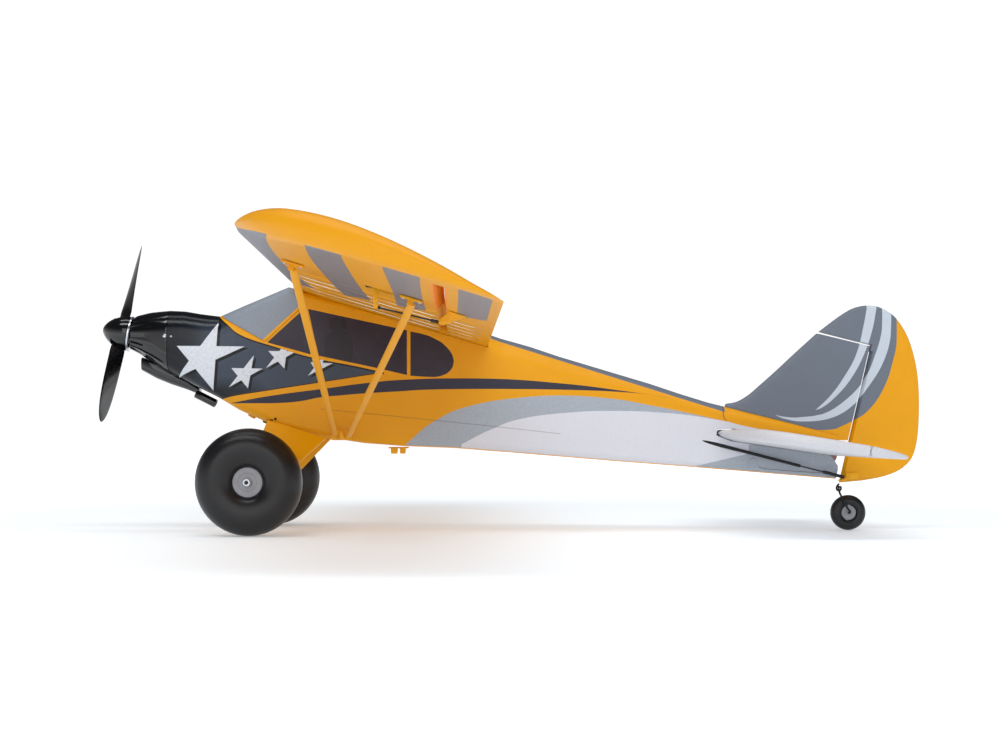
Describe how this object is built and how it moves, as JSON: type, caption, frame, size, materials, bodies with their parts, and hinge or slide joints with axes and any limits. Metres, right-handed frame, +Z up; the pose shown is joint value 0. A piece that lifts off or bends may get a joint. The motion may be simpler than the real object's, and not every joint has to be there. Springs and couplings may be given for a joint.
{
  "type": "rc foam airplane",
  "caption": "High-wing tail-dragger radio-control airplane in moulded foam, with wing struts, big soft main tyres, steerable tail wheel and a tractor propeller.",
  "frame": {"origin": "centre of the bounding box on the ground, wheels on Z = 0", "axes": "+Z up, +X aft toward the tail, +Y starboard along the span"},
  "size_m": [0.9031, 1.2992, 0.3177],
  "materials": {
    "foam_yellow": "satin moulded bead foam",
    "gloss_black": "high gloss",
    "silver": "turned",
    "black_plastic": "satin",
    "rubber": "soft moulded",
    "pale_grey": "satin",
    "tail_grey": "satin painted bead foam",
    "white_foam": "satin bead foam",
    "steel": "blackened spring wire",
    "screen_grey": "satin",
    "fibre_brown": "satin"
  },
  "bodies": {
    "airframe": {"fuselage_left": "foam_yellow", "fuselage_right": "foam_yellow", "windshield": "screen_grey", "cowl": "gloss_black", "chin_scoop": "gloss_black", "firewall": "black_plastic", "motor_stator": "silver", "battery_pack": "black_plastic", "wing_left": "foam_yellow", "wing_right": "foam_yellow", "wing_tube": "black_plastic", "aileron_servo_left": "black_plastic", "aileron_servo_right": "black_plastic", "strut_front_left": "foam_yellow", "strut_front_right": "foam_yellow", "strut_rear_left": "foam_yellow", "strut_rear_right": "foam_yellow", "strut_bracket_left": "foam_yellow", "strut_bracket_right": "foam_yellow", "gear_wire": "steel", "gear_cover": "black_plastic", "gear_fairing_left": "foam_yellow", "gear_fairing_right": "foam_yellow", "axle_collar_left": "silver", "axle_collar_right": "silver", "float_mount_rear": "foam_yellow", "tail_fin": "tail_grey", "stabilizer": "white_foam", "rudder_sleeve": "black_plastic", "elevator_sleeve": "black_plastic"},
    "propeller": {"motor_bell": "black_plastic", "spinner_backplate": "silver", "propeller": "gloss_black", "spinner": "gloss_black"},
    "wheel_left": {"tyre_left": "rubber", "hub_left": "pale_grey"},
    "wheel_right": {"tyre_right": "rubber", "hub_right": "pale_grey"},
    "aileron_left": {"aileron_left": "foam_yellow", "aileron_horn_left": "foam_yellow"},
    "aileron_right": {"aileron_right": "foam_yellow", "aileron_horn_right": "foam_yellow"},
    "servo_arm_left": {"aileron_arm_left": "foam_yellow"},
    "servo_arm_right": {"aileron_arm_right": "foam_yellow"},
    "aileron_rod_left": {"aileron_rod_left": "steel"},
    "aileron_rod_right": {"aileron_rod_right": "steel"},
    "elevator": {"elevator_left": "white_foam", "elevator_right": "white_foam", "elevator_joiner": "fibre_brown", "elevator_horn": "black_plastic"},
    "elevator_rod": {"elevator_rod": "steel"},
    "rudder": {"rudder": "tail_grey", "rudder_horn": "foam_yellow", "tail_wheel_wire": "steel"},
    "rudder_rod": {"rudder_rod": "steel"},
    "tail_wheel": {"tail_tyre": "rubber", "tail_hub": "pale_grey"},
    "battery_hatch": {"battery_hatch": "foam_yellow"}
  },
  "joints": [
    {"name": "propeller_spin", "type": "hinge", "parent": "airframe", "child": "propeller", "pos_m": [-0.43, 0, 0.2185], "axis": [-0.9848, 0, 0.1736], "continuous": true},
    {"name": "wheel_spin_left", "type": "hinge", "parent": "airframe", "child": "wheel_left", "pos_m": [-0.2755, -0.112, 0.056], "axis": [0, 1, 0], "continuous": true},
    {"name": "wheel_spin_right", "type": "hinge", "parent": "airframe", "child": "wheel_right", "pos_m": [-0.2755, 0.112, 0.056], "axis": [0, 1, 0], "continuous": true},
    {"name": "aileron_left_hinge", "type": "hinge", "parent": "airframe", "child": "aileron_left", "pos_m": [-0.07016, -0.48, 0.22606], "axis": [0, 1, 0], "range_deg": [-22, 22]},
    {"name": "aileron_right_hinge", "type": "hinge", "parent": "airframe", "child": "aileron_right", "pos_m": [-0.07016, 0.48, 0.22606], "axis": [0, 1, 0], "range_deg": [-22, 22]},
    {"name": "servo_arm_left_turn", "type": "hinge", "parent": "airframe", "child": "servo_arm_left", "pos_m": [-0.13, -0.3958, 0.23383], "axis": [0, 1, 0], "range_deg": [-31, 31]},
    {"name": "aileron_rod_left_pin", "type": "hinge", "parent": "servo_arm_left", "child": "aileron_rod_left", "pos_m": [-0.13, -0.3958, 0.21643], "axis": [0, 1, 0], "range_deg": [-31, 31]},
    {"name": "servo_arm_right_turn", "type": "hinge", "parent": "airframe", "child": "servo_arm_right", "pos_m": [-0.13, 0.3958, 0.23383], "axis": [0, 1, 0], "range_deg": [-31, 31]},
    {"name": "aileron_rod_right_pin", "type": "hinge", "parent": "servo_arm_right", "child": "aileron_rod_right", "pos_m": [-0.13, 0.3958, 0.21643], "axis": [0, 1, 0], "range_deg": [-31, 31]},
    {"name": "elevator_hinge", "type": "hinge", "parent": "airframe", "child": "elevator", "pos_m": [0.348, 0, 0.089], "axis": [0, 1, 0], "range_deg": [-20, 20]},
    {"name": "elevator_rod_slide", "type": "slide", "parent": "airframe", "child": "elevator_rod", "axis": [0.9923, 0.0239, -0.1215], "range_m": [-0.0062, 0.0062]},
    {"name": "rudder_hinge", "type": "hinge", "parent": "airframe", "child": "rudder", "pos_m": [0.363, 0, 0.0524], "axis": [0.2271, 0, 0.9739], "range_deg": [-17, 17]},
    {"name": "rudder_rod_slide", "type": "slide", "parent": "airframe", "child": "rudder_rod", "axis": [0.9683, -0.0083, -0.2495], "range_m": [-0.0053, 0.0053]},
    {"name": "tail_wheel_spin", "type": "hinge", "parent": "rudder", "child": "tail_wheel", "pos_m": [0.374, 0, 0.0194], "axis": [0, 1, 0], "continuous": true},
    {"name": "battery_hatch_hinge", "type": "hinge", "parent": "airframe", "child": "battery_hatch", "pos_m": [-0.31846, 0, 0.14548], "axis": [0, 1, 0], "range_deg": [0, 60]}
  ],
  "couplings": [
    {"joint": "aileron_right_hinge", "follows": "aileron_left_hinge", "ratio": -1},
    {"joint": "servo_arm_left_turn", "follows": "aileron_left_hinge", "ratio": 1.3619},
    {"joint": "aileron_rod_left_pin", "follows": "aileron_left_hinge", "ratio": -1.3619},
    {"joint": "servo_arm_right_turn", "follows": "aileron_left_hinge", "ratio": -1.3619},
    {"joint": "aileron_rod_right_pin", "follows": "aileron_left_hinge", "ratio": 1.3619},
    {"joint": "elevator_rod_slide", "follows": "elevator_hinge", "m_per_rad": -0.0162},
    {"joint": "rudder_rod_slide", "follows": "rudder_hinge", "m_per_rad": 0.017}
  ]
}
